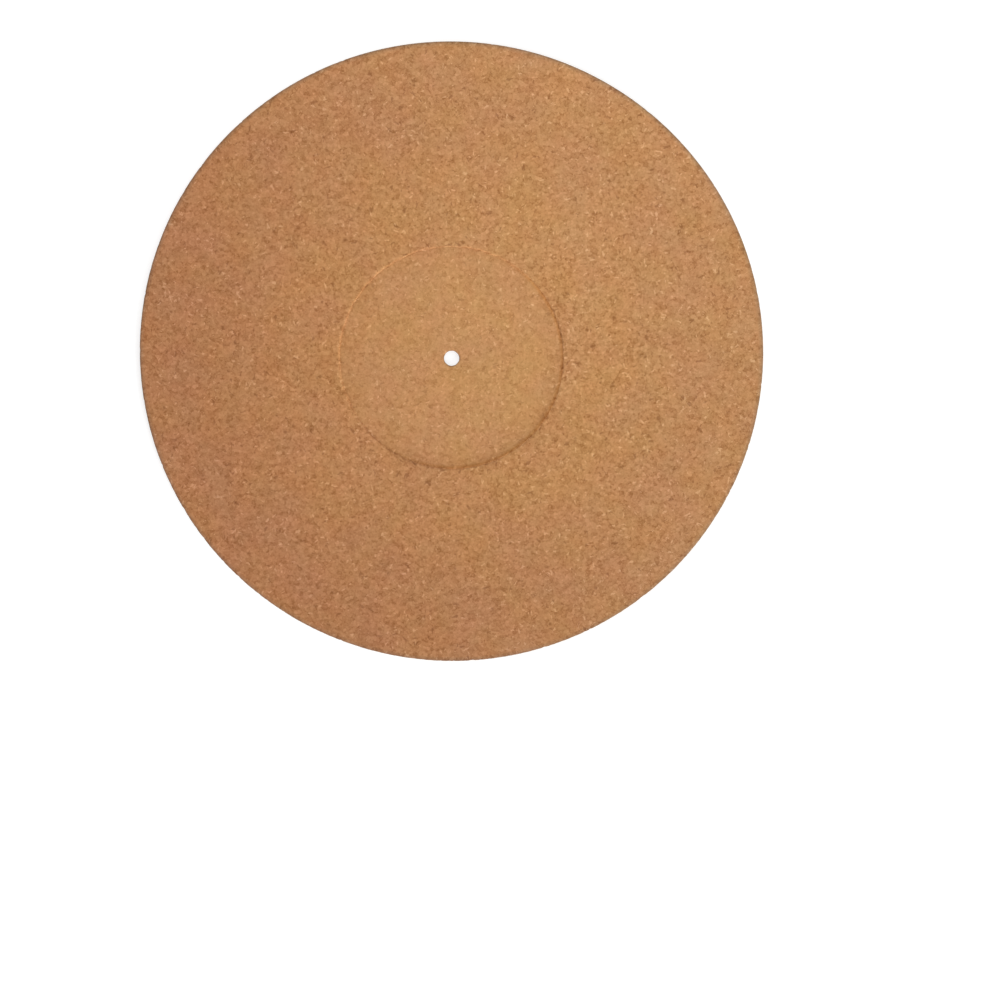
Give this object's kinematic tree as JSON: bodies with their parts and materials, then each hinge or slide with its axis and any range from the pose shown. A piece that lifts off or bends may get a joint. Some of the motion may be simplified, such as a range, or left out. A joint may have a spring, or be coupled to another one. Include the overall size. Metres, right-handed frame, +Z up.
{
  "type": "turntable platter mat",
  "caption": "Thin round mat of pressed cork granules for a record player's platter, with a shallow round recess for the record's label and a spindle hole in the middle.",
  "frame": {"origin": "centre of the flat underside, on the spindle's axis", "axes": "+Z up out of the face that carries the record, along the spindle's axis; X and Y lie in the plane of the mat"},
  "size_m": [0.3, 0.3, 0.003],
  "materials": {
    "cork": "matte tan pressed cork with fine pale and dark granules"
  },
  "bodies": {
    "root": {"platter_mat": "cork"}
  },
  "joints": []
}
